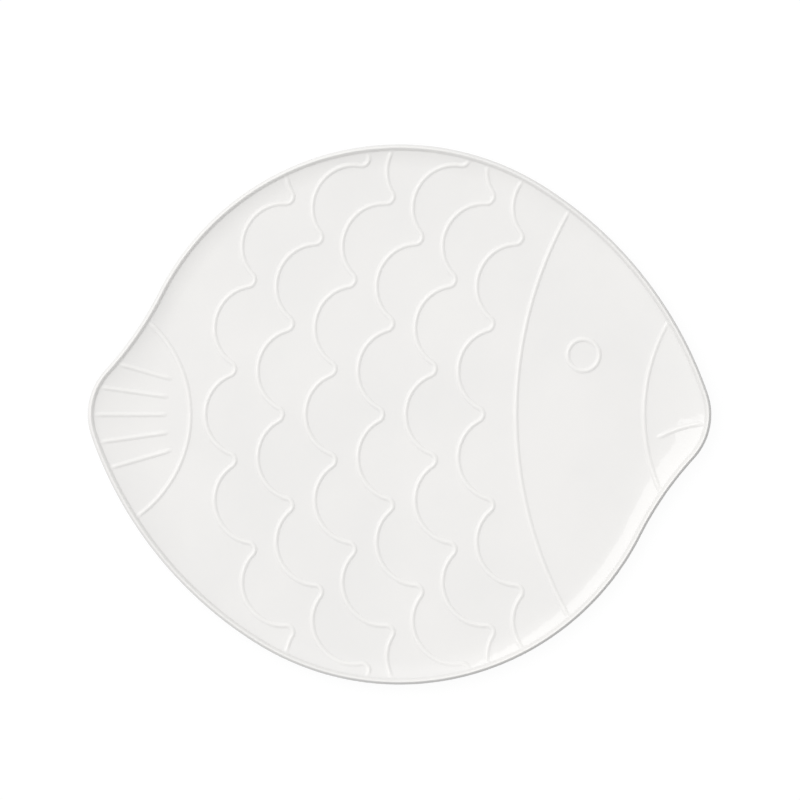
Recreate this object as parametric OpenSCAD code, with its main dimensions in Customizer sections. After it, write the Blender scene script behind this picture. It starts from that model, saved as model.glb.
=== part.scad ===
// Serving platter in white glazed stoneware, shaped as a fish: a round dish with two pointed ears,
// a coved wall, a rounded lip and a turned foot, and a fish drawn on the floor in raised slip lines.
// Millimetres. The origin is on the table under the middle of the dish. +X runs along the ears
// to the fish's mouth, and +Z is up.

/* [Outline] */
// Diameter of the round body, edge to edge
body_d = 312; // [260:1:380]
// How far the tip of each ear stands out beyond the round body
ear_out = 24; // [14:1:40]
// How much larger than the body's radius the sweep from the body to the ear's tip is
sweep_extra = 74; // [40:1:120]
// Radius of the ear's rounded tip
tip_r = 38; // [20:1:60]
// Radius of the hollow between the ear's tip and the body
hollow_r = 200; // [80:5:320]

/* [Dish] */
// Thickness of the floor
floor_t = 6; // [4:0.5:10]
// Depth of the well on the round body, from the top of the lip to the floor
well_depth = 3.7; // [3.5:0.1:20]
// Width of the coved wall on the round body
wall_w = 10; // [6:0.5:20]
// How far the flat underside stops short of the floor's edge
base_in = 3.5; // [1:0.5:10]
// Distance from the edge to the top of the lip
crest_in = 1.7; // [1.2:0.1:3]
// Distance over which the lip falls from its top to the wall
lip_run = 3.3; // [2:0.1:6]
// Height of the lip above the top of the wall
lip_rise = 2.2; // [1:0.1:3]
// How much higher the lip is at the tip of an ear than on the round body
ear_lift = 1.5; // [0:0.1:5]

/* [Foot] */
// Diameter of the foot ring at the middle of its width
foot_d = 228; // [160:1:250]
// Width of the foot ring
foot_w = 7; // [4:0.5:12]
// Height of the foot ring
foot_h = 6; // [3:0.5:10]
// Radius of the foot ring's two lower edges
foot_edge_r = 1.5; // [0.5:0.1:2]

/* [Raised lines] */
// Width of a raised line
line_w = 3.8; // [2:0.1:6]
// Height of a raised line
line_h = 0.8; // [0.5:0.1:2]
// Clear space between the end of a raised line and the lip
end_gap = 0.4; // [0.2:0.1:3]
// Hair gap under a raised line where it climbs the wall
seat_gap = 0.15; // [0.1:0.05:0.3]

/* [Head] */
// Radius of the gill line and of the scale rows behind it
gill_r = 240; // [200:5:320]
// Outside diameter of the eye ring
eye_d = 22; // [14:1:30]
// How far inside the body's circle the line across the ear at the head lies
snout_in = 15; // [10:1:24]
// Radius of the line across the ear at the head
snout_r = 110; // [70:1:160]
// Distance from the ear's tip to the mouth's inner end
mouth_in = 32; // [24:1:33]
// How far below the ear's middle the mouth meets the lip
mouth_low = 5; // [0:0.5:10]
// How far the mouth turns down towards its inner end
mouth_drop = 9; // [2:0.5:14]

/* [Scales] */
// Width of one scale along its row
scale_w = 52; // [40:1:70]
// Height of one scale across its row
scale_bow = 16; // [10:0.5:18]
// Radius of the valley between two scales
valley_r = 4; // [3:0.5:6]

/* [Tail] */
// How far inside the body's circle the line across the ear at the tail lies
tail_in = 35; // [25:1:45]
// Radius of the line across the ear at the tail
tail_r = 72; // [55:1:110]
// Distance from the tail line to the point that the rays spread from
ray_hub = 61; // [45:1:80]
// Gap from the tail line to the start of the rays
ray_gap = 12; // [8:1:18]
// Angle between two rays, in degrees
ray_angle = 8; // [6:0.5:9]

/* [Hidden] */
// Counts and places in the drawing
scale_rows = 6;
tail_rays = 5;
gill_share = 0.43;
eye_shares = [0.68, 0.22];
first_row_share = 0.65;
spare_row_share = 0.5;

// Heights on the round body
floor_z = foot_h + floor_t;
wall_rise = well_depth - lip_rise;

// Width of the lip, and radii of the round body and of the flat floor and underside
lip_w = crest_in + lip_run;
body_r = body_d / 2;
floor_r = body_r - lip_w - wall_w;
base_r = floor_r - base_in;

// The lip's round runs from the wall over the top and this far under
lip_wrap = 230;
under_in = lip_in(lip_wrap);

// How the rises of the wall, of the lip's inner side and of the underside gather outwards
wall_power = 2;
lip_power = 3;
flare_power = 1.5;

// Steps around the outline, crowded at the ears, and across the profile
stations = 128;
ear_crowd = 14;
outer_steps = 5;
lip_steps = 10;
wall_steps = 7;

// Steps along and across a raised line
scale_steps = 14;
arc_steps = 30;
arc_step = 1;
ray_steps = 10;
mouth_steps = 10;
section_steps = 4;
halvings = 24;
seat_ease_share = 0.25;

// Places in the drawing
end_in = lip_w + line_w / 2 + end_gap;
gill_x = gill_share * body_r;
tail_x = body_r - tail_in;
snout_x = body_r - snout_in;
mouth_x = body_r + ear_out - mouth_in;
row_pitch = (gill_x + tail_x) / (scale_rows + spare_row_share);

glaze_white = [0.94, 0.94, 0.93];
bare_clay = [0.87, 0.83, 0.76];

// Outline: each ear is a sweep, a round tip and a hollow, tangent to each other and to the body.
// The other ear is the same one turned half round.
tip_c = [body_r + ear_out - tip_r, 0];
sweep_c = arc_centre(sweep_extra, body_r + sweep_extra - tip_r);
hollow_c = arc_centre(body_r + hollow_r, tip_r + hollow_r);

// Centre of an arc that lies these distances from the middle and from the tip's centre
function arc_centre(from_middle, from_tip) =
    let (reach = tip_c.x,
         turn = acos((from_middle ^ 2 + reach ^ 2 - from_tip ^ 2) / (2 * from_middle * reach)))
    from_middle * [cos(turn), -sin(turn)];

function polar_angle(p) = atan2(p.y, p.x);

// Distance from the middle, at angle a, to a circle round centre c
function ray_to_circle(a, c, r, side) =
    let (along = c * [cos(a), sin(a)])
    along + side * sqrt(max(along ^ 2 - c * c + r ^ 2, 0));

// Distance from the middle to the outline drawn in by inset
function edge(angle, inset) =
    let (a = angle - 180 * round(angle / 180),
         tip = tip_r - inset,
         sweep_to = polar_angle(tip_c + tip * unit(tip_c - sweep_c)),
         hollow_from = polar_angle(tip_c + tip * unit(hollow_c - tip_c)))
    a > polar_angle(-sweep_c) || a <= polar_angle(hollow_c) ? body_r - inset
    : a > sweep_to ? ray_to_circle(a, sweep_c, body_r + sweep_extra - inset, 1)
    : a > hollow_from ? ray_to_circle(a, tip_c, tip, 1)
    : ray_to_circle(a, hollow_c, hollow_r + inset, -1);

function unit(v) = v / norm(v);

// Dish profile at angle a: the lip turns from the wall at 0 degrees over its top at 90
function lip_in(turn) = crest_in + (turn < 90 ? lip_run : crest_in) * cos(turn);
function lip_up(turn) = lip_rise * (turn < 90 ? sin(turn) ^ lip_power : sin(turn));
function wall_top(a) = floor_z + wall_rise + ear_lift * max(edge(a, 0) - body_r, 0) / ear_out;
function lip_height(a, turn) = wall_top(a) + lip_up(turn);
function wall_height(a, share) = floor_z + (wall_top(a) - floor_z) * share ^ wall_power;
function outer_height(a, share) = foot_h + (lip_height(a, lip_wrap) - foot_h) * share ^ flare_power;

function station_angle(j) =
    let (t = 360 * j / stations)
    t - ear_crowd * sin(2 * t);

// One ring of points, a share of the way from a circle to the outline drawn in by inset
function ring(share, circle_r, inset, height) =
    [for (j = [0:stations - 1])
        let (a = station_angle(j),
             r = circle_r + share * (edge(a, inset) - circle_r))
        [r * cos(a), r * sin(a), height(a)]];

dish_rings = concat(
    [for (i = [0:outer_steps - 1])
        let (share = i / outer_steps)
        ring(share, base_r, under_in, function (a) outer_height(a, share))],
    [for (i = [lip_steps:-1:0])
        let (turn = lip_wrap * i / lip_steps)
        ring(1, 0, lip_in(turn), function (a) lip_height(a, turn))],
    [for (i = [wall_steps - 1:-1:0])
        let (share = i / wall_steps)
        ring(share, floor_r, lip_w, function (a) wall_height(a, share))]);

// Skin of a tube of rings, as triangles, each ring with this many points
function skin(rings, points) =
    [for (i = [0:rings - 2], j = [0:points - 1])
        let (a = i * points + j,
             b = i * points + (j + 1) % points,
             c = b + points,
             d = a + points)
        each [[a, d, c], [a, c, b]]];

// Raised lines
function well_height(p) =
    let (a = polar_angle(p),
         share = max((norm(p) - floor_r) / (edge(a, lip_w) - floor_r), 0))
    wall_height(a, share) + seat_gap * min(share / seat_ease_share, 1);

function in_well(p) = norm(p) < edge(polar_angle(p), end_in);

// Value at which the curve first leaves the well, walking from one value in steps
function leaves_at(curve, from, step) =
    in_well(curve(from + step)) ? leaves_at(curve, from + step, step)
    : crossing(curve, from, from + step, halvings);

function crossing(curve, inside, outside, left) =
    let (middle = (inside + outside) / 2)
    left == 0 ? inside
    : in_well(curve(middle)) ? crossing(curve, middle, outside, left - 1)
    : crossing(curve, inside, middle, left - 1);

// Points along a curve between two values
function walk(curve, from, to, steps) =
    [for (i = [0:steps]) curve(from + (to - from) * i / steps)];

// The same with short steps at both ends, where a line climbs the wall
function walk_eased(curve, from, to, steps) =
    [for (i = [0:steps]) curve(from + (to - from) * (1 - cos(180 * i / steps)) / 2)];

// Across and up, from one side over the crown to the other
line_section =
    [for (i = [0:section_steps])
        let (turn = 180 * i / section_steps)
        [line_w / 2 * cos(turn), line_h * sin(turn)]];

module raised_line(path) {
    last = len(path) - 1;
    size = len(line_section);
    points =
        [for (i = [0:last])
            let (ahead = unit(path[min(i + 1, last)] - path[max(i - 1, 0)]),
                 left = [-ahead.y, ahead.x])
            for (s = line_section)
                let (p = path[i] + s.x * left)
                [p.x, p.y, well_height(p) + s.y]];
    caps =
        [for (j = [1:size - 2])
            each [[0, j, j + 1], [last * size, last * size + j + 1, last * size + j]]];
    color(glaze_white)
        polyhedron(points, concat(skin(last + 1, size), caps));
}

// A line across the well, from lip to lip, along an arc given by its angle
module arc_line(curve) {
    low = leaves_at(curve, 0, -arc_step);
    top = leaves_at(curve, 0, arc_step);
    raised_line(walk_eased(curve, low, top, arc_steps));
}

// Arc whose nearest point to the eye or to the tail lies at x, bulging to the tail or to the head
function tailward_arc(x, r) = function (a) [x + r - r * cos(a), r * sin(a)];
function headward_arc(x, r) = function (a) [x - r + r * cos(a), r * sin(a)];

// One scale is a large arc and half a valley arc on each side, both turning by the same angle
scale_turn = 2 * atan(2 * scale_bow / scale_w);
scale_r = scale_w / 2 / sin(scale_turn) - valley_r;

// Along the row and out from it, t counted in scales from a scale's crown
function scale_edge(t) =
    let (q = t - round(t),
         run = 2 * abs(q) * (scale_r + valley_r),
         on_scale = run < scale_r,
         turn = scale_turn * (on_scale ? run / scale_r : (scale_r + valley_r - run) / valley_r),
         along = on_scale ? scale_r * sin(turn) : scale_w / 2 - valley_r * sin(turn))
    [round(t) * scale_w + sign(q) * along,
     on_scale ? scale_bow - scale_r * (1 - cos(turn)) : valley_r * (1 - cos(turn))];

// Rows are parallel to the gill line and staggered by half a scale
function row_curve(k) =
    let (x = gill_x - row_pitch * (k - 1 + first_row_share),
         shift = k % 2 / 2)
    function (t)
        let (zero = scale_edge(shift),
             edge_at = scale_edge(t + shift),
             a = (edge_at.x - zero.x) / gill_r * 180 / PI,
             r = gill_r + edge_at.y)
        [x + gill_r - r * cos(a), r * sin(a)];

module scale_row(k) {
    curve = row_curve(k);
    top = leaves_at(curve, 0, 1 / scale_steps);
    low = leaves_at(curve, 0, -1 / scale_steps);
    raised_line(walk(curve, low, top, ceil((top - low) * scale_steps)));
}

module gill_line() {
    arc_line(tailward_arc(gill_x, gill_r));
}

module snout_line() {
    arc_line(tailward_arc(snout_x, snout_r));
}

module tail_line() {
    arc_line(headward_arc(-tail_x, tail_r));
}

module mouth_line() {
    curve = function (t) [mouth_x + t * mouth_in, -mouth_low - mouth_drop * (1 - t) ^ 2];
    raised_line(walk(curve, 0, leaves_at(curve, 0, 1 / mouth_steps), mouth_steps));
}

module tail_ray(k) {
    a = ray_angle * (k - (tail_rays + 1) / 2);
    curve = function (t) [ray_hub - tail_x, 0] + t * [-cos(a), -sin(a)];
    start = ray_hub + ray_gap;
    raised_line(walk(curve, start, leaves_at(curve, start, line_w), ray_steps));
}

module eye_ring() {
    color(glaze_white)
        translate([eye_shares.x * body_r, eye_shares.y * body_r, floor_z])
            rotate_extrude($fn = 96)
                translate([(eye_d - line_w) / 2, 0])
                    polygon(line_section);
}

module foot_profile() {
    translate([0, foot_edge_r])
        square([foot_w, foot_h - foot_edge_r]);
    translate([foot_edge_r, 0])
        square([foot_w - 2 * foot_edge_r, foot_h]);
    for (x = [foot_edge_r, foot_w - foot_edge_r])
        translate([x, foot_edge_r])
            circle(foot_edge_r, $fn = 32);
}

module foot_ring() {
    color(bare_clay)
        rotate_extrude($fn = 128)
            translate([(foot_d - foot_w) / 2, 0])
                foot_profile();
}

module dish_body() {
    rings = len(dish_rings);
    underside = [for (j = [0:stations - 1]) j];
    floor_face = [for (j = [stations - 1:-1:0]) (rings - 1) * stations + j];
    color(glaze_white)
        polyhedron([for (r = dish_rings) each r], concat([underside, floor_face], skin(rings, stations)));
}

dish_body();
foot_ring();
gill_line();
snout_line();
mouth_line();
eye_ring();
tail_line();
for (k = [1:scale_rows]) scale_row(k);
for (k = [1:tail_rays]) tail_ray(k);
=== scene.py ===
import bpy
import math
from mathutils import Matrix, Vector


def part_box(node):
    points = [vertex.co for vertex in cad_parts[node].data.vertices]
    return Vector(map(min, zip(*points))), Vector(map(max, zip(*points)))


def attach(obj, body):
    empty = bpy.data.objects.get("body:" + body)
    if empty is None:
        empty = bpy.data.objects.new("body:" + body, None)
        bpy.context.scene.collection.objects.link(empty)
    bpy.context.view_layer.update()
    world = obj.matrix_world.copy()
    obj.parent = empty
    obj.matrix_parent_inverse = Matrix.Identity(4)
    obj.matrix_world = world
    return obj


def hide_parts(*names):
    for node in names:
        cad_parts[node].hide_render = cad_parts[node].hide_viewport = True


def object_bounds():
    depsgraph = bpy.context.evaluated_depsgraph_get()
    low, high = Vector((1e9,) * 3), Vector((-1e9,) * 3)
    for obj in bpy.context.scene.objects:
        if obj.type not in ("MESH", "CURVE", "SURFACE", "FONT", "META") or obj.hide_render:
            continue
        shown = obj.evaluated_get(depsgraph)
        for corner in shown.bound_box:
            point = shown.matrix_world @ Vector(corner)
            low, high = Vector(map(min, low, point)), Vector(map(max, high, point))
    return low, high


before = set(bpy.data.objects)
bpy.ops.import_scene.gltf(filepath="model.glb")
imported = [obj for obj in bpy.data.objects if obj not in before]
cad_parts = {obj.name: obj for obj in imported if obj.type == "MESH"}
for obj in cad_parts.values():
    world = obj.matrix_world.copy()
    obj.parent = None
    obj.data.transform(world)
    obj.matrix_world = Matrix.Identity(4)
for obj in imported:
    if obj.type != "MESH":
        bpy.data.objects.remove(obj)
cadLow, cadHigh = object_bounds()
scene = bpy.context.scene
print("frame loaded with", len(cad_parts), "nodes")


# Small helpers for building node trees

def feed(tree, socket, value):
    if isinstance(value, bpy.types.NodeSocket):
        tree.links.new(value, socket)
    else:
        socket.default_value = value


def findSocket(sockets, key):
    if isinstance(key, int):
        return sockets[key]
    return next(s for s in sockets if s.name == key and s.enabled)


def addNode(tree, kind, inputs=None, **settings):
    node = tree.nodes.new(kind)
    for name, value in settings.items():
        setattr(node, name, value)
    for key, value in (inputs or {}).items():
        feed(tree, findSocket(node.inputs, key), value)
    return node


def calc(tree, operation, *values):
    return addNode(tree, "ShaderNodeMath", dict(enumerate(values)), operation=operation).outputs[0]


def vecCalc(tree, operation, *values):
    node = addNode(tree, "ShaderNodeVectorMath", dict(enumerate(values)), operation=operation)
    return node.outputs["Vector"]


def vecNumber(tree, operation, *values):
    node = addNode(tree, "ShaderNodeVectorMath", dict(enumerate(values)), operation=operation)
    return node.outputs["Value"]


def vecScale(tree, vector, factor):
    node = addNode(tree, "ShaderNodeVectorMath", {0: vector}, operation="SCALE")
    feed(tree, node.inputs["Scale"], factor)
    return node.outputs["Vector"]


def splitVector(tree, vector):
    return addNode(tree, "ShaderNodeSeparateXYZ", {0: vector}).outputs


def joinVector(tree, x, y, z):
    return addNode(tree, "ShaderNodeCombineXYZ", {0: x, 1: y, 2: z}).outputs[0]


def newTree(name, sockets):
    tree = bpy.data.node_groups.new(name, "GeometryNodeTree")
    tree.interface.new_socket("Geometry", in_out="INPUT", socket_type="NodeSocketGeometry")
    for label, kind in sockets.items():
        tree.interface.new_socket(label, in_out="INPUT", socket_type="NodeSocket" + kind)
    tree.interface.new_socket("Geometry", in_out="OUTPUT", socket_type="NodeSocketGeometry")
    return tree, tree.nodes.new("NodeGroupInput").outputs


# Ends every tree: no instances left, smooth faces, the piece's own finish
def closeTree(tree, geometry, material):
    plain = addNode(tree, "GeometryNodeRealizeInstances", {"Geometry": geometry})
    smooth = addNode(tree, "GeometryNodeSetShadeSmooth", {"Geometry": plain.outputs[0]})
    finished = addNode(tree, "GeometryNodeSetMaterial", {"Geometry": smooth.outputs[0], "Material": material})
    out = tree.nodes.new("NodeGroupOutput")
    tree.links.new(finished.outputs[0], out.inputs[0])


def storeNumber(tree, geometry, name, value):
    node = addNode(tree, "GeometryNodeStoreNamedAttribute", {"Geometry": geometry, "Name": name},
                   data_type="FLOAT", domain="POINT")
    feed(tree, findSocket(node.inputs, "Value"), value)
    return node.outputs[0]


def readNumber(tree, name):
    return addNode(tree, "GeometryNodeInputNamedAttribute", {"Name": name}, data_type="FLOAT").outputs[0]


def sampleAt(tree, geometry, value, index, kind="FLOAT"):
    node = addNode(tree, "GeometryNodeSampleIndex", {"Geometry": geometry, "Index": index},
                   data_type=kind, domain="POINT")
    feed(tree, findSocket(node.inputs, "Value"), value)
    return node.outputs[0]


def guideMesh(name, points, closed=False, numbers=None):
    edges = [(i, i + 1) for i in range(len(points) - 1)]
    if closed:
        edges.append((len(points) - 1, 0))
    mesh = bpy.data.meshes.new(name)
    mesh.from_pydata(points, edges, [])
    for label, values in (numbers or {}).items():
        mesh.attributes.new(label, "FLOAT", "POINT").data.foreach_set("value", values)
    return bpy.data.objects.new(name, mesh)


# Runs a tree on a guide and keeps the result as a plain mesh with no modifier
def runTree(tree, guide, values, name):
    modifier = guide.modifiers.new(tree.name, "NODES")
    modifier.node_group = tree
    for item in tree.interface.items_tree:
        if item.in_out == "INPUT" and item.name in values:
            modifier[item.identifier] = values[item.name]
    scene.collection.objects.link(guide)
    evaluated = guide.evaluated_get(bpy.context.evaluated_depsgraph_get())
    piece = bpy.data.objects.new(name, bpy.data.meshes.new_from_object(evaluated))
    piece.data.name = name
    scene.collection.objects.link(piece)
    bpy.data.objects.remove(guide)
    return piece


def seat(piece, node):
    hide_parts(node)
    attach(piece, "root")
    return piece


# Finishes

glazeLook = {
    "thick": (0.822, 0.814, 0.802, 1),    # where the glaze lies deep
    "even": (0.846, 0.836, 0.822, 1),     # the open floor
    "thin": (0.876, 0.866, 0.848, 1),     # drawn thin over crowns and the lip
    "thinShare": 0.8,         # how much of that colour a crown takes
    "patchScale": 17,
    "patchRange": (0.35, 0.65),
    "peelScale": 190,
    "peelDepth": 0.00005,
    "waveScale": 55,
    "waveDepth": 0.00016,
    "smearScale": 60,
    "smearRange": (0.3, 0.7),
    "roughness": (0.012, 0.03),
    "refraction": 1.52,
}


def noise(tree, scale, detail, roughness=0.5):
    place = addNode(tree, "ShaderNodeTexCoord")
    return addNode(tree, "ShaderNodeTexNoise", {
        "Vector": place.outputs["Object"], "Scale": scale, "Detail": detail, "Roughness": roughness,
    }).outputs[0]


def rangeOf(tree, value, low, high, toLow=0.0, toHigh=1.0):
    return addNode(tree, "ShaderNodeMapRange", {
        "Value": value, "From Min": low, "From Max": high, "To Min": toLow, "To Max": toHigh,
    }).outputs[0]


def mixColour(tree, factor, a, b):
    node = addNode(tree, "ShaderNodeMix", data_type="RGBA")
    for key, value in (("Factor", factor), ("A", a), ("B", b)):
        feed(tree, findSocket(node.inputs, key), value)
    return next(s for s in node.outputs if s.enabled)


def bumpFrom(tree, height, distance, normal=None):
    node = addNode(tree, "ShaderNodeBump", {"Height": height, "Distance": distance, "Strength": 1.0})
    if normal is not None:
        feed(tree, node.inputs["Normal"], normal)
    return node.outputs[0]


def newFinish(name):
    finish = bpy.data.materials.new(name)
    finish.use_nodes = True
    return finish, finish.node_tree, finish.node_tree.nodes["Principled BSDF"]


def makeGlaze():
    finish, tree, shader = newFinish("whiteGlaze")
    look = glazeLook
    patches = rangeOf(tree, noise(tree, look["patchScale"], detail=3), *look["patchRange"])
    base = mixColour(tree, patches, look["thick"], look["even"])
    crown = addNode(tree, "ShaderNodeAttribute", attribute_name="crown").outputs["Fac"]
    thinned = calc(tree, "MULTIPLY", crown, look["thinShare"])
    feed(tree, shader.inputs["Base Color"], mixColour(tree, thinned, base, look["thin"]))
    smears = noise(tree, look["smearScale"], detail=4)
    feed(tree, shader.inputs["Roughness"], rangeOf(tree, smears, *look["smearRange"], *look["roughness"]))
    waves = bumpFrom(tree, noise(tree, look["waveScale"], detail=1), look["waveDepth"])
    peel = noise(tree, look["peelScale"], detail=1.5)
    feed(tree, shader.inputs["Normal"], bumpFrom(tree, peel, look["peelDepth"], waves))
    feed(tree, shader.inputs["IOR"], look["refraction"])
    return finish


clayLook = {
    "dark": (0.58, 0.50, 0.40, 1),
    "light": (0.72, 0.64, 0.53, 1),
    "speck": (0.20, 0.14, 0.09, 1),
    "cloudScale": 45,
    "cloudRange": (0.3, 0.7),
    "grainScale": 420,
    "grainRange": (0.35, 0.75),
    "grainTint": (0.0, 0.5),      # how far the grain lightens the clay
    "grainDepth": 0.00012,
    "speckScale": 900,
    "speckRange": (0.68, 0.74),
    "roughRange": (0.2, 0.8),
    "roughness": (0.78, 0.95),
}


def makeClay():
    finish, tree, shader = newFinish("bareClay")
    look = clayLook
    grain = noise(tree, look["grainScale"], detail=5, roughness=0.65)
    clouds = rangeOf(tree, noise(tree, look["cloudScale"], detail=3), *look["cloudRange"])
    body = mixColour(tree, clouds, look["dark"], look["light"])
    tint = rangeOf(tree, grain, *look["grainRange"], *look["grainTint"])
    tone = mixColour(tree, tint, body, look["light"])
    specks = rangeOf(tree, noise(tree, look["speckScale"], detail=1), *look["speckRange"])
    feed(tree, shader.inputs["Base Color"], mixColour(tree, specks, tone, look["speck"]))
    feed(tree, shader.inputs["Roughness"], rangeOf(tree, grain, *look["roughRange"], *look["roughness"]))
    feed(tree, shader.inputs["Normal"], bumpFrom(tree, grain, look["grainDepth"]))
    return finish


whiteGlaze = makeGlaze()
bareClay = makeClay()
print("finishes ready")


# Outline of the dish: a round body and two ears, each a sweep, a round tip and a hollow

outlineShape = {
    "sweepExtra": 0.074,      # how much larger than the body's radius the sweep is
    "tipRadius": 0.038,
    "hollowRadius": 0.200,
    "points": 1440,
}

dishLow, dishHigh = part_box("dish_body")
eyeLow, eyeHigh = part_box("eye_ring")
bodyRadius = dishHigh.y
tipCentre = Vector((dishHigh.x - outlineShape["tipRadius"], 0))


def arcCentre(fromMiddle, fromTip):
    reach = tipCentre.x
    turn = math.acos((fromMiddle ** 2 + reach ** 2 - fromTip ** 2) / (2 * fromMiddle * reach))
    return fromMiddle * Vector((math.cos(turn), -math.sin(turn)))


sweepRadius = bodyRadius + outlineShape["sweepExtra"]
sweepCentre = arcCentre(outlineShape["sweepExtra"], sweepRadius - outlineShape["tipRadius"])
hollowCentre = arcCentre(bodyRadius + outlineShape["hollowRadius"],
                         outlineShape["tipRadius"] + outlineShape["hollowRadius"])


def polarAngle(point):
    return math.atan2(point[1], point[0])


def rayToCircle(angle, centre, radius, side):
    along = centre.dot(Vector((math.cos(angle), math.sin(angle))))
    return along + side * math.sqrt(max(along ** 2 - centre.length_squared + radius ** 2, 0))


# Distance from the middle to the outline drawn in by inset
def edgeRadius(angle, inset):
    a = angle - math.pi * round(angle / math.pi)
    tip = outlineShape["tipRadius"] - inset
    sweepTo = polarAngle(tipCentre + tip * (tipCentre - sweepCentre).normalized())
    hollowFrom = polarAngle(tipCentre + tip * (hollowCentre - tipCentre).normalized())
    if a > polarAngle(-sweepCentre) or a <= polarAngle(hollowCentre):
        return bodyRadius - inset
    if a > sweepTo:
        return rayToCircle(a, sweepCentre, sweepRadius - inset, 1)
    if a > hollowFrom:
        return rayToCircle(a, tipCentre, tip, 1)
    return rayToCircle(a, hollowCentre, outlineShape["hollowRadius"] + inset, -1)


def outlinePoint(angle):
    radius = edgeRadius(angle, 0)
    return (radius * math.cos(angle), radius * math.sin(angle), 0)


# The dish: its profile is carried round the outline

dishShape = {
    "crestIn": 0.0018,        # from the edge to the top of the lip
    "lipRun": 0.0022,         # from the top of the lip to the wall
    "lipRise": 0.0022,
    "lipFoot": 0.14,          # how much of the lip's rise carries on the wall's slope
    "sideTop": 0.0014,        # inset at which the lip's steep outer side would meet its top
    "sideDrop": 0.0029,       # from the lip's top down to its widest place
    "sideStraight": (0.15, 0.65),   # shares of the outer side between which it is straight
    "lipThick": 0.0040,       # from the lip's top down to its underside
    "underIn": 0.0006,        # inset of the lip's underside
    "earLift": 0.0015,        # how much higher the lip is at an ear's tip
    "wallWidth": 0.0105,
    "wallPower": 2.0,
    "baseIn": 0.0035,         # how far the flat underside stops short of the floor's edge
    "flarePower": 1.5,
    "flareEnd": 0.93,         # share of the flare at which it turns up into the lip
    "stations": 640,
    "profilePoints": {        # on each stretch, from the middle below to the middle above
        "base": 8, "flare": 18, "corner": 6, "side": 4, "brow": 10, "lip": 22, "wall": 26, "floor": 10,
    },
    "weld": 1e-6,             # points closer than this become one
}

lipWidth = dishShape["crestIn"] + dishShape["lipRun"]
floorRadius = bodyRadius - lipWidth - dishShape["wallWidth"]
floorHeight = eyeLow.z
wallTop = dishHigh.z - dishShape["earLift"] - dishShape["lipRise"]
baseReach = -dishShape["baseIn"] / floorRadius


# A profile point holds its reach, inset, height and share of the ear's lift. Reach is -1 in the middle,
# 0 on the floor's circle and 1 at the outline
def sidePoint(inset, drop):
    return Vector((1, inset, wallTop + dishShape["lipRise"] - drop, 1))


# The lip's inner side, from the wall at 0 degrees to the top at 90
def lipPoint(degrees):
    turn = math.radians(degrees)
    square = math.sin(turn) ** 2
    gain = square * (dishShape["lipFoot"] + (1 - dishShape["lipFoot"]) * square)
    inset = dishShape["crestIn"] + dishShape["lipRun"] * math.cos(turn)
    return sidePoint(inset, dishShape["lipRise"] * (1 - gain))


def wallPoint(share):
    gain = share ** dishShape["wallPower"]
    return Vector((share, lipWidth, floorHeight + (wallTop - floorHeight) * gain, gain))


def flarePoint(share):
    under = sidePoint(dishShape["underIn"], dishShape["lipThick"])
    gain = share ** dishShape["flarePower"]
    reach = baseReach + (1 - baseReach) * share
    return Vector((reach, under.y, dishLow.z + (under.z - dishLow.z) * gain, gain))


def flatPoint(reach, like):
    return Vector((reach, like.y, like.z, 0))


def steps(start, end, count):
    return [start + (end - start) * i / count for i in range(count)]


def softCorner(start, corner, end, count):
    return [start * (1 - t) ** 2 + corner * 2 * t * (1 - t) + end * t ** 2 for t in steps(0, 1, count)]


# From the middle of the underside, out and over the lip, to the middle of the floor
def dishProfile():
    flareEnd = dishShape["flareEnd"]
    widest = sidePoint(0, dishShape["sideDrop"])
    brow = sidePoint(dishShape["sideTop"], 0)
    below = flarePoint(1).lerp(widest, 0.5)
    low, high = [widest.lerp(brow, share) for share in dishShape["sideStraight"]]
    count = dishShape["profilePoints"]
    points = [flatPoint(r, flarePoint(0)) for r in steps(-1, baseReach, count["base"])]
    points += [flarePoint(s) for s in steps(0, flareEnd, count["flare"])]
    points += softCorner(flarePoint(flareEnd), flarePoint(1), below, count["corner"])
    points += softCorner(below, widest, low, count["corner"])
    points += [low.lerp(high, t) for t in steps(0, 1, count["side"])]
    points += softCorner(high, brow, lipPoint(90), count["brow"])
    points += [lipPoint(t) for t in steps(90, 0, count["lip"])]
    points += [wallPoint(s) for s in steps(1, 0, count["wall"])]
    points += [flatPoint(r, wallPoint(0)) for r in steps(0, -1, count["floor"])]
    return points + [flatPoint(-1, wallPoint(0))]


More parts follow.
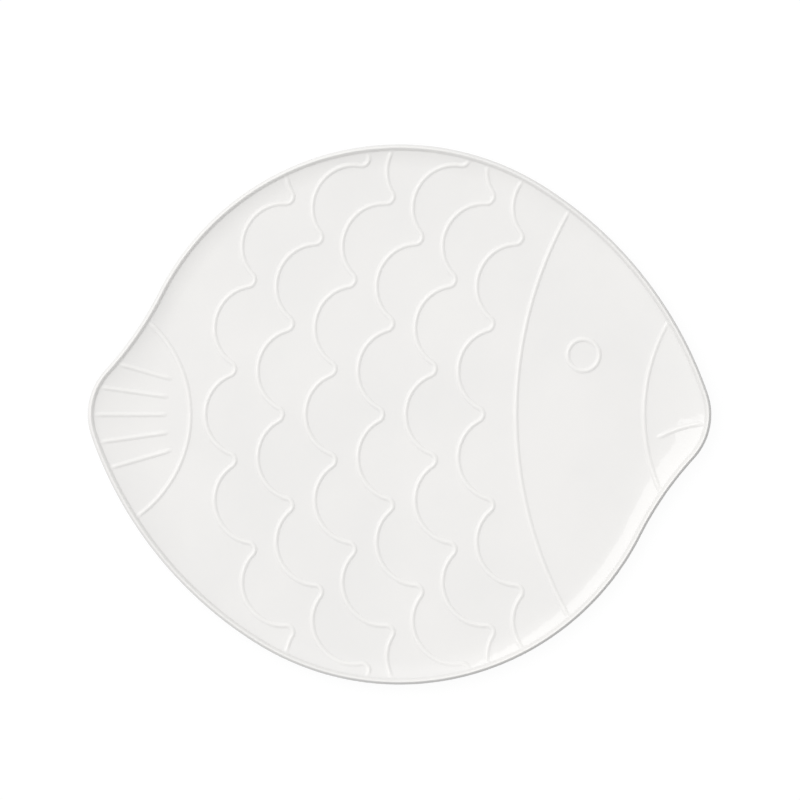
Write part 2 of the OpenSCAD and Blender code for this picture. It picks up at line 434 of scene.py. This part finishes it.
def dishTree():
    tree, given = newTree("dishLoft", {
        "Profile": "Object", "Stations": "Int", "Floor Radius": "Float", "Body Radius": "Float",
        "Ear Reach": "Float", "Ear Lift": "Float", "Lip From": "Float", "Lip To": "Float",
        "Weld": "Float", "Finish": "Material",
    })
    outline = addNode(tree, "GeometryNodeMeshToCurve", {"Mesh": given["Geometry"]}).outputs[0]
    profile = addNode(tree, "GeometryNodeObjectInfo", {"Object": given["Profile"]}).outputs["Geometry"]
    rows = addNode(tree, "GeometryNodeAttributeDomainSize", {0: profile}).outputs["Point Count"]
    grid = addNode(tree, "GeometryNodeMeshGrid", {
        "Size X": 1.0, "Size Y": 1.0, "Vertices X": given["Stations"], "Vertices Y": rows,
    }).outputs["Mesh"]
    place = addNode(tree, "GeometryNodeInputPosition").outputs[0]
    spot = splitVector(tree, place)
    around = calc(tree, "ADD", spot[0], 0.5)
    across = calc(tree, "MULTIPLY", calc(tree, "ADD", spot[1], 0.5), calc(tree, "SUBTRACT", rows, 1))
    row = calc(tree, "ROUND", across)
    rim = addNode(tree, "GeometryNodeSampleCurve", {"Curves": outline, "Factor": around}, mode="FACTOR")
    reach, inset, height = splitVector(tree, sampleAt(tree, profile, place, row, "FLOAT_VECTOR"))

    # How far the outline stands out beyond the round body decides the lift
    out = vecNumber(tree, "LENGTH", rim.outputs["Position"])
    lift = rangeOf(tree, out, given["Body Radius"], given["Ear Reach"], 0.0, given["Ear Lift"])
    lifted = calc(tree, "MULTIPLY", lift, sampleAt(tree, profile, readNumber(tree, "lift"), row))
    tall = calc(tree, "ADD", height, lifted)

    outward = vecCalc(tree, "NORMALIZE", vecCalc(tree, "CROSS_PRODUCT", rim.outputs["Tangent"], (0, 0, 1)))
    edge = vecCalc(tree, "SUBTRACT", rim.outputs["Position"], vecScale(tree, outward, inset))
    circle = calc(tree, "MULTIPLY", given["Floor Radius"],
                  calc(tree, "ADD", 1.0, calc(tree, "MINIMUM", reach, 0.0)))
    inner = vecScale(tree, vecCalc(tree, "NORMALIZE", rim.outputs["Position"]), circle)
    way = vecScale(tree, vecCalc(tree, "SUBTRACT", edge, inner), calc(tree, "MAXIMUM", reach, 0.0))
    flat = splitVector(tree, vecCalc(tree, "ADD", inner, way))
    marked = storeNumber(tree, grid, "crown", rangeOf(tree, height, given["Lip From"], given["Lip To"]))
    shaped = addNode(tree, "GeometryNodeSetPosition", {
        "Geometry": marked, "Position": joinVector(tree, flat[0], flat[1], tall),
    }).outputs[0]
    closed = addNode(tree, "GeometryNodeMergeByDistance", {
        "Geometry": shaped, "Distance": given["Weld"],
    }).outputs[0]
    closeTree(tree, closed, given["Finish"])
    return tree


def makeDish():
    turns = [2 * math.pi * i / outlineShape["points"] for i in range(outlineShape["points"])]
    guide = guideMesh("outlineGuide", [outlinePoint(a) for a in turns], closed=True)
    points = dishProfile()
    profile = guideMesh("profileGuide", [p.xyz for p in points], numbers={"lift": [p.w for p in points]})
    piece = runTree(dishTree(), guide, {
        "Profile": profile, "Stations": dishShape["stations"] + 1, "Floor Radius": floorRadius,
        "Body Radius": bodyRadius, "Ear Reach": dishHigh.x, "Ear Lift": dishShape["earLift"],
        "Lip From": wallTop, "Lip To": wallTop + dishShape["lipRise"],
        "Weld": dishShape["weld"], "Finish": whiteGlaze,
    }, "glazedDish")
    bpy.data.objects.remove(profile)
    return seat(piece, "dish_body")


glazedDish = makeDish()
print("dish lofted:", len(glazedDish.data.polygons), "faces")


# Raised slip lines, laid along paths on the floor and pressed onto the dish

lineShape = {
    "halfWidth": 0.0019,
    "height": 0.00072,
    "sink": 0.0004,           # how deep the line's back sits in the dish
    "skin": 0.00003,          # how deep its feet dip under the glaze
    "fade": 0.005,            # length over which an end dies away
    "endInset": -0.0012,      # an end stops this far inside the lip's foot, or up on it where negative
    "sides": 28,
    "step": 0.0007,
}


def lineTree():
    tree, given = newTree("raisedLine", {
        "Dish": "Object", "Half Width": "Float", "Height": "Float", "Sink": "Float", "Skin": "Float",
        "Fade": "Float", "Sides": "Int", "Step": "Float", "Above": "Float", "Finish": "Material",
    })
    path = addNode(tree, "GeometryNodeMeshToCurve", {"Mesh": given["Geometry"]}).outputs[0]
    even = addNode(tree, "GeometryNodeResampleCurve", {"Curve": path, "Length": given["Step"]}, mode="LENGTH")
    level = addNode(tree, "GeometryNodeSetCurveNormal", {"Curve": even.outputs[0]}, mode="Z_UP").outputs[0]
    run = addNode(tree, "GeometryNodeSplineParameter").outputs["Length"]
    total = addNode(tree, "GeometryNodeSplineLength").outputs["Length"]
    toEnd = calc(tree, "MINIMUM", run, calc(tree, "SUBTRACT", total, run))
    fade = addNode(tree, "ShaderNodeMapRange", {
        "Value": toEnd, "From Min": 0.0, "From Max": given["Fade"],
    }, interpolation_type="SMOOTHSTEP").outputs[0]
    endless = addNode(tree, "GeometryNodeInputSplineCyclic").outputs[0]
    marked = storeNumber(tree, level, "fade", calc(tree, "MAXIMUM", fade, endless))

    # Section: a rounded crown that runs out level at both feet, on a shallow back
    loop = addNode(tree, "GeometryNodeCurvePrimitiveCircle", {"Resolution": given["Sides"], "Radius": 1.0})
    x, y, _ = splitVector(tree, addNode(tree, "GeometryNodeInputPosition").outputs[0])
    bell = calc(tree, "POWER", calc(tree, "SUBTRACT", 1.0, calc(tree, "MULTIPLY", x, x)), 2.0)
    onTop = calc(tree, "GREATER_THAN", y, 0.0)
    rise = calc(tree, "MULTIPLY", calc(tree, "MULTIPLY", bell, given["Height"]), onTop)
    lower = calc(tree, "MULTIPLY", calc(tree, "MINIMUM", y, 0.0), given["Sink"])
    section = storeNumber(tree, loop.outputs[0], "backSide", lower)
    section = storeNumber(tree, section, "topSide", rise)
    section = addNode(tree, "GeometryNodeSetPosition", {
        "Geometry": section,
        "Position": joinVector(tree, calc(tree, "MULTIPLY", x, given["Half Width"]), 0.0, 0.0),
    }).outputs[0]
    swept = addNode(tree, "GeometryNodeCurveToMesh", {
        "Curve": marked, "Profile Curve": section, "Fill Caps": True,
    }).outputs[0]

    # Press every point onto the dish and lift it along the dish's normal
    spot = splitVector(tree, addNode(tree, "GeometryNodeInputPosition").outputs[0])
    dish = addNode(tree, "GeometryNodeObjectInfo", {"Object": given["Dish"]}).outputs["Geometry"]
    cast = addNode(tree, "GeometryNodeRaycast", {
        "Target Geometry": dish, "Source Position": joinVector(tree, spot[0], spot[1], given["Above"]),
        "Ray Direction": (0, 0, -1), "Ray Length": 1.0,
    })
    lifted = calc(tree, "MULTIPLY", readNumber(tree, "topSide"), readNumber(tree, "fade"))
    lift = calc(tree, "SUBTRACT", calc(tree, "ADD", lifted, readNumber(tree, "backSide")), given["Skin"])
    place = vecCalc(tree, "ADD", cast.outputs["Hit Position"],
                    vecScale(tree, cast.outputs["Hit Normal"], lift))
    crown = storeNumber(tree, swept, "crown", calc(tree, "DIVIDE", lifted, given["Height"]))
    pressed = addNode(tree, "GeometryNodeSetPosition", {"Geometry": crown, "Position": place}).outputs[0]
    outside = addNode(tree, "GeometryNodeFlipFaces", {"Mesh": pressed}).outputs[0]
    closeTree(tree, outside, given["Finish"])
    return tree


raisedLine = lineTree()


def layLine(path, name, node, closed=False):
    guide = guideMesh(name + "Guide", [(p[0], p[1], 0) for p in path], closed)
    piece = runTree(raisedLine, guide, {
        "Dish": glazedDish, "Half Width": lineShape["halfWidth"], "Height": lineShape["height"],
        "Sink": lineShape["sink"], "Skin": lineShape["skin"],
        "Fade": lineShape["fade"], "Sides": lineShape["sides"],
        "Step": lineShape["step"], "Above": cadHigh.z * 2, "Finish": whiteGlaze,
    }, name)
    seat(piece, node)


def inWell(point):
    inset = lipWidth + lineShape["endInset"]
    return math.hypot(*point) < edgeRadius(polarAngle(point), inset)


# Value at which a curve first leaves the well, walking from start in steps
def leavesAt(curve, start, step, halvings=30):
    inside = start
    while inWell(curve(inside + step)):
        inside += step
    outside = inside + step
    for _ in range(halvings):
        middle = (inside + outside) / 2
        if inWell(curve(middle)):
            inside = middle
        else:
            outside = middle
    return inside


def walk(curve, start, end, count):
    return [curve(t) for t in steps(start, end, count)] + [curve(end)]


def acrossWell(curve, step, count):
    return walk(curve, leavesAt(curve, 0, -step), leavesAt(curve, 0, step), count)


def tailwardArc(x, radius):
    return lambda a: (x + radius - radius * math.cos(a), radius * math.sin(a))


def headwardArc(x, radius):
    return lambda a: (x - radius + radius * math.cos(a), radius * math.sin(a))


# The fish's head

headShape = {
    "cadHalfWidth": 0.0019,   # from the side of a node's box to its line's middle
    "gillRadius": 0.240,
    "snoutRadius": 0.110,
    "mouthIn": 0.032,         # from the ear's tip to the mouth's inner end
    "mouthLow": 0.005,
    "mouthDrop": 0.009,
    "mouthStep": 0.05,        # share of the mouth walked at a time to find the lip
    "mouthPoints": 60,
    "eyePoints": 160,
    "arcStep": math.radians(0.5),
    "arcPoints": 240,
}

halfLine = headShape["cadHalfWidth"]
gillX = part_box("gill_line")[0].x + halfLine
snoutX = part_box("snout_line")[0].x + halfLine
mouthX = dishHigh.x - headShape["mouthIn"]


def mouthCurve(t):
    drop = headShape["mouthLow"] + headShape["mouthDrop"] * (1 - t) ** 2
    return (mouthX + t * headShape["mouthIn"], -drop)


def eyePath():
    count = headShape["eyePoints"]
    centre = (eyeLow + eyeHigh) / 2
    radius = (eyeHigh.x - eyeLow.x) / 2 - halfLine
    turns = [2 * math.pi * i / count for i in range(count)]
    return [(centre.x + radius * math.cos(a), centre.y + radius * math.sin(a)) for a in turns]


def makeHead():
    arcStep, arcPoints = headShape["arcStep"], headShape["arcPoints"]
    gill = tailwardArc(gillX, headShape["gillRadius"])
    snout = tailwardArc(snoutX, headShape["snoutRadius"])
    layLine(acrossWell(gill, arcStep, arcPoints), "gillLine", "gill_line")
    layLine(acrossWell(snout, arcStep, arcPoints), "snoutLine", "snout_line")
    mouthEnd = leavesAt(mouthCurve, 0, headShape["mouthStep"])
    layLine(walk(mouthCurve, 0, mouthEnd, headShape["mouthPoints"]), "mouthLine", "mouth_line")
    layLine(eyePath(), "eyeRing", "eye_ring", closed=True)


makeHead()
print("head drawn")


# Tail: a line across the ear and rays fanning out behind it

tailShape = {
    "radius": 0.072,
    "hub": 0.061,             # from the tail line to the point that the rays fan out from
    "gap": 0.012,             # from the tail line to the rays
    "angle": 8,
    "rays": 5,
    "rayPoints": 60,
}

tailX = -(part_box("tail_line")[1].x - halfLine)


def rayCurve(k):
    a = math.radians(tailShape["angle"]) * (k - (tailShape["rays"] + 1) / 2)
    return lambda t: (tailShape["hub"] - tailX - t * math.cos(a), -t * math.sin(a))


def makeTail():
    line = headwardArc(-tailX, tailShape["radius"])
    layLine(acrossWell(line, headShape["arcStep"], headShape["arcPoints"]), "tailLine", "tail_line")
    start = tailShape["hub"] + tailShape["gap"]
    for k in range(1, tailShape["rays"] + 1):
        curve = rayCurve(k)
        end = leavesAt(curve, start, lineShape["halfWidth"])
        layLine(walk(curve, start, end, tailShape["rayPoints"]), f"tailRay{k}", f"tail_ray_{k}")


makeTail()
print("tail drawn")


# Rows of overlapping scales, parallel to the gill line and staggered by half a scale

scaleShape = {
    "rows": 6,
    "width": 0.052,
    "bow": 0.016,
    "valleyRadius": 0.004,
    "firstRowShare": 0.65,
    "spareRowShare": 0.5,
    "pointsPerScale": 60,
}

scaleTurn = 2 * math.atan(2 * scaleShape["bow"] / scaleShape["width"])
scaleRadius = scaleShape["width"] / 2 / math.sin(scaleTurn) - scaleShape["valleyRadius"]
rowPitch = (gillX + tailX) / (scaleShape["rows"] + scaleShape["spareRowShare"])


# Along the row and out from it, t counted in scales from a scale's crown
def scaleEdge(t):
    valley = scaleShape["valleyRadius"]
    nearest = math.floor(t + 0.5)
    offset = t - nearest
    run = 2 * abs(offset) * (scaleRadius + valley)
    if run < scaleRadius:
        turn = scaleTurn * run / scaleRadius
        along = scaleRadius * math.sin(turn)
        out = scaleShape["bow"] - scaleRadius * (1 - math.cos(turn))
    else:
        turn = scaleTurn * (scaleRadius + valley - run) / valley
        along = scaleShape["width"] / 2 - valley * math.sin(turn)
        out = valley * (1 - math.cos(turn))
    return nearest * scaleShape["width"] + math.copysign(along, offset), out


def rowCurve(k):
    x = gillX - rowPitch * (k - 1 + scaleShape["firstRowShare"])
    shift = k % 2 / 2
    radius = headShape["gillRadius"]
    zero = scaleShape["width"] * shift

    def curve(t):
        along, out = scaleEdge(t + shift)
        a = (along - zero) / radius
        return (x + radius - (radius + out) * math.cos(a), (radius + out) * math.sin(a))
    return curve


def makeScales():
    step = 1 / scaleShape["pointsPerScale"]
    for k in range(1, scaleShape["rows"] + 1):
        curve = rowCurve(k)
        low, top = leavesAt(curve, 0, -step), leavesAt(curve, 0, step)
        count = math.ceil((top - low) / step)
        layLine(walk(curve, low, top, count), f"scaleRow{k}", f"scale_row_{k}")


makeScales()
print("scales drawn")


# Foot ring, turned and wiped bare

footShape = {
    "width": 0.007,
    "edgeRadius": 0.0016,
    "edgeStep": 15,           # degrees between the points of a rounded edge
    "flare": 0.0006,          # how much wider each side is where it meets the dish
    "flareFrom": 0.6,         # share of the height at which a side begins to flare
    "bury": 0.0003,           # how deep it sits in the underside
    "segments": 256,
}


def footProfile():
    half, edge = footShape["width"] / 2, footShape["edgeRadius"]
    top = dishLow.z + footShape["bury"]
    quarter = [math.radians(a) for a in range(0, 91, footShape["edgeStep"])]
    right = [(half - edge + edge * math.sin(a), edge - edge * math.cos(a)) for a in quarter]
    right += [(half, dishLow.z * footShape["flareFrom"]), (half + footShape["flare"], top)]
    left = [(-x, y) for x, y in reversed(right)]
    return [(x, -y, 0) for x, y in reversed(right + left)]    # the sweep turns a profile's Y downwards


def ringTree():
    tree, given = newTree("turnedRing", {"Radius": "Float", "Segments": "Int", "Finish": "Material"})
    section = addNode(tree, "GeometryNodeMeshToCurve", {"Mesh": given["Geometry"]}).outputs[0]
    circle = addNode(tree, "GeometryNodeCurvePrimitiveCircle", {
        "Resolution": given["Segments"], "Radius": given["Radius"],
    }).outputs[0]
    level = addNode(tree, "GeometryNodeSetCurveNormal", {"Curve": circle}, mode="Z_UP").outputs[0]
    swept = addNode(tree, "GeometryNodeCurveToMesh", {
        "Curve": level, "Profile Curve": section, "Fill Caps": False,
    }).outputs[0]
    closeTree(tree, swept, given["Finish"])
    return tree


def makeFoot():
    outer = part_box("foot_ring")[1].x
    guide = guideMesh("footGuide", footProfile(), closed=True)
    piece = runTree(ringTree(), guide, {
        "Radius": outer - footShape["width"] / 2, "Segments": footShape["segments"], "Finish": bareClay,
    }, "footRing")
    seat(piece, "foot_ring")


makeFoot()
print("foot turned")


# Studio: floor white to the camera with painted shade in its bounce colour across from the soft box, soft box
# at the upper left, pale sky with a dark screen across, camera straight above

studioLook = {
    "floorSize": 6.0,
    "floorBounce": (0.75, 0.75, 0.75, 1),     # on the bright side
    "floorPaintedShade": (0.04, 0.04, 0.04, 1),        # painted shade: the floor's bounce colour across from it, dark so that little light comes back onto the lip's outer edge there
    "floorTurn": 0.14,        # from the middle to where each is reached
    "floorShow": 0.92,        # light the floor shows by itself to the camera and to gloss
    "floorDiffuse": (0.10, 0.10, 0.10, 1),
    "boxSize": (2.6, 2.8),
    "boxPlace": (-1.8, 1.4, 4.0),
    "boxLight": 1.44,
    "skyAzimuth": 140,        # the sky is brightest here, on the soft box's side, in degrees from +X
    "skyZenith": 35,
    "skyBright": 1.055,
    "skyDark": 0.955,
    "skyDarkFrom": -0.57,     # cosine from the brightest place
    "skyInGloss": 0.65,       # how much of the white background gloss shows in the sky's place
    "flagAzimuth": 315,       # bearing of a dark screen across from the soft box
    "flagHeight": (0.40, 0.60),   # sines of the elevation between which it ends
    "flagSpread": (-0.1, 0.45),   # cosines of the bearing between which it sets in
}

cameraLook = {
    "metresPerPixel": 0.0005765,
    "pixels": 800,
    "dishAtPixel": (399.5, 414.5),
    "distance": 4.0,
    "sensor": 36.0,
}


def fromAngles(zenith, azimuth):
    tilt, turn = math.radians(zenith), math.radians(azimuth)
    return Vector((math.sin(tilt) * math.cos(turn), math.sin(tilt) * math.sin(turn), math.cos(tilt)))


# 1 for the camera, inGloss for what is mirrored or seen through something clear, and 0 for light
def seenDirectly(tree, inGloss=1.0):
    path = addNode(tree, "ShaderNodeLightPath").outputs
    mirrored = calc(tree, "MAXIMUM", path["Is Glossy Ray"], path["Is Transmission Ray"])
    return calc(tree, "MAXIMUM", path["Is Camera Ray"], calc(tree, "MULTIPLY", mirrored, inGloss))


def makeFloor():
    half = studioLook["floorSize"] / 2
    corners = [(-half, -half, 0), (half, -half, 0), (half, half, 0), (-half, half, 0)]
    mesh = bpy.data.meshes.new("studioFloor")
    mesh.from_pydata(corners, [], [(0, 1, 2, 3)])
    floor = bpy.data.objects.new("studioFloor", mesh)
    scene.collection.objects.link(floor)
    finish, tree, shader = newFinish("studioFloor")
    tree.nodes.remove(shader)
    place = addNode(tree, "ShaderNodeTexCoord").outputs["Object"]
    toBright = fromAngles(90, studioLook["flagAzimuth"] + 180)
    along = vecNumber(tree, "DOT_PRODUCT", place, toBright)
    side = rangeOf(tree, along, -studioLook["floorTurn"], studioLook["floorTurn"])
    # Painted shade: for bounce light the floor turns dark on the side across from the soft box
    tone = mixColour(tree, side, studioLook["floorPaintedShade"], studioLook["floorBounce"])
    bounce = addNode(tree, "ShaderNodeBsdfDiffuse", {"Color": tone}).outputs[0]
    shade = addNode(tree, "ShaderNodeBsdfDiffuse", {"Color": studioLook["floorDiffuse"]}).outputs[0]
    glow = addNode(tree, "ShaderNodeEmission", {"Strength": studioLook["floorShow"]}).outputs[0]
    shown = addNode(tree, "ShaderNodeAddShader", {0: shade, 1: glow}).outputs[0]
    mixed = addNode(tree, "ShaderNodeMixShader", {0: seenDirectly(tree), 1: bounce, 2: shown}).outputs[0]
    tree.links.new(mixed, tree.nodes["Material Output"].inputs["Surface"])
    mesh.materials.append(finish)


def makeSky():
    world = bpy.data.worlds.new("studioSky")
    world.use_nodes = True
    scene.world = world
    tree = world.node_tree
    back = tree.nodes["Background"]
    look = addNode(tree, "ShaderNodeTexCoord").outputs["Generated"]
    toBright = fromAngles(studioLook["skyZenith"], studioLook["skyAzimuth"])
    side = vecNumber(tree, "DOT_PRODUCT", look, toBright)
    clear = rangeOf(tree, side, studioLook["skyDarkFrom"], 1.0,
                    studioLook["skyDark"], studioLook["skyBright"])
    toFlag = fromAngles(90, studioLook["flagAzimuth"])
    near = vecNumber(tree, "DOT_PRODUCT", look, toFlag)
    facing = rangeOf(tree, near, *studioLook["flagSpread"])
    low = rangeOf(tree, splitVector(tree, look)[2], *studioLook["flagHeight"], 1.0, 0.0)
    flag = calc(tree, "MULTIPLY", facing, low)
    level = calc(tree, "MULTIPLY", clear, calc(tree, "SUBTRACT", 1.0, flag))
    direct = seenDirectly(tree, studioLook["skyInGloss"])
    strength = calc(tree, "ADD", level, calc(tree, "MULTIPLY", direct, calc(tree, "SUBTRACT", 1.0, level)))
    feed(tree, back.inputs["Strength"], strength)
    back.inputs["Color"].default_value = (1, 1, 1, 1)


def makeBox():
    lamp = bpy.data.lights.new("softBox", "AREA")
    lamp.shape = "RECTANGLE"
    lamp.size, lamp.size_y = studioLook["boxSize"]
    lamp.energy = studioLook["boxLight"] * math.pi * lamp.size * lamp.size_y
    box = bpy.data.objects.new("softBox", lamp)
    box.location = studioLook["boxPlace"]
    scene.collection.objects.link(box)


def makeCamera():
    look = cameraLook
    lens = bpy.data.cameras.new("topCamera")
    lens.sensor_width = look["sensor"]
    lens.lens = look["sensor"] * look["distance"] / (look["pixels"] * look["metresPerPixel"])
    camera = bpy.data.objects.new("topCamera", lens)
    middle = look["pixels"] / 2
    right = (middle - look["dishAtPixel"][0]) * look["metresPerPixel"]
    up = (look["dishAtPixel"][1] - middle) * look["metresPerPixel"]
    camera.location = (right, up, dishHigh.z + look["distance"])
    scene.collection.objects.link(camera)
    scene.camera = camera


makeFloor()
makeSky()
makeBox()
makeCamera()
scene.view_settings.view_transform = "Standard"
print("studio set")
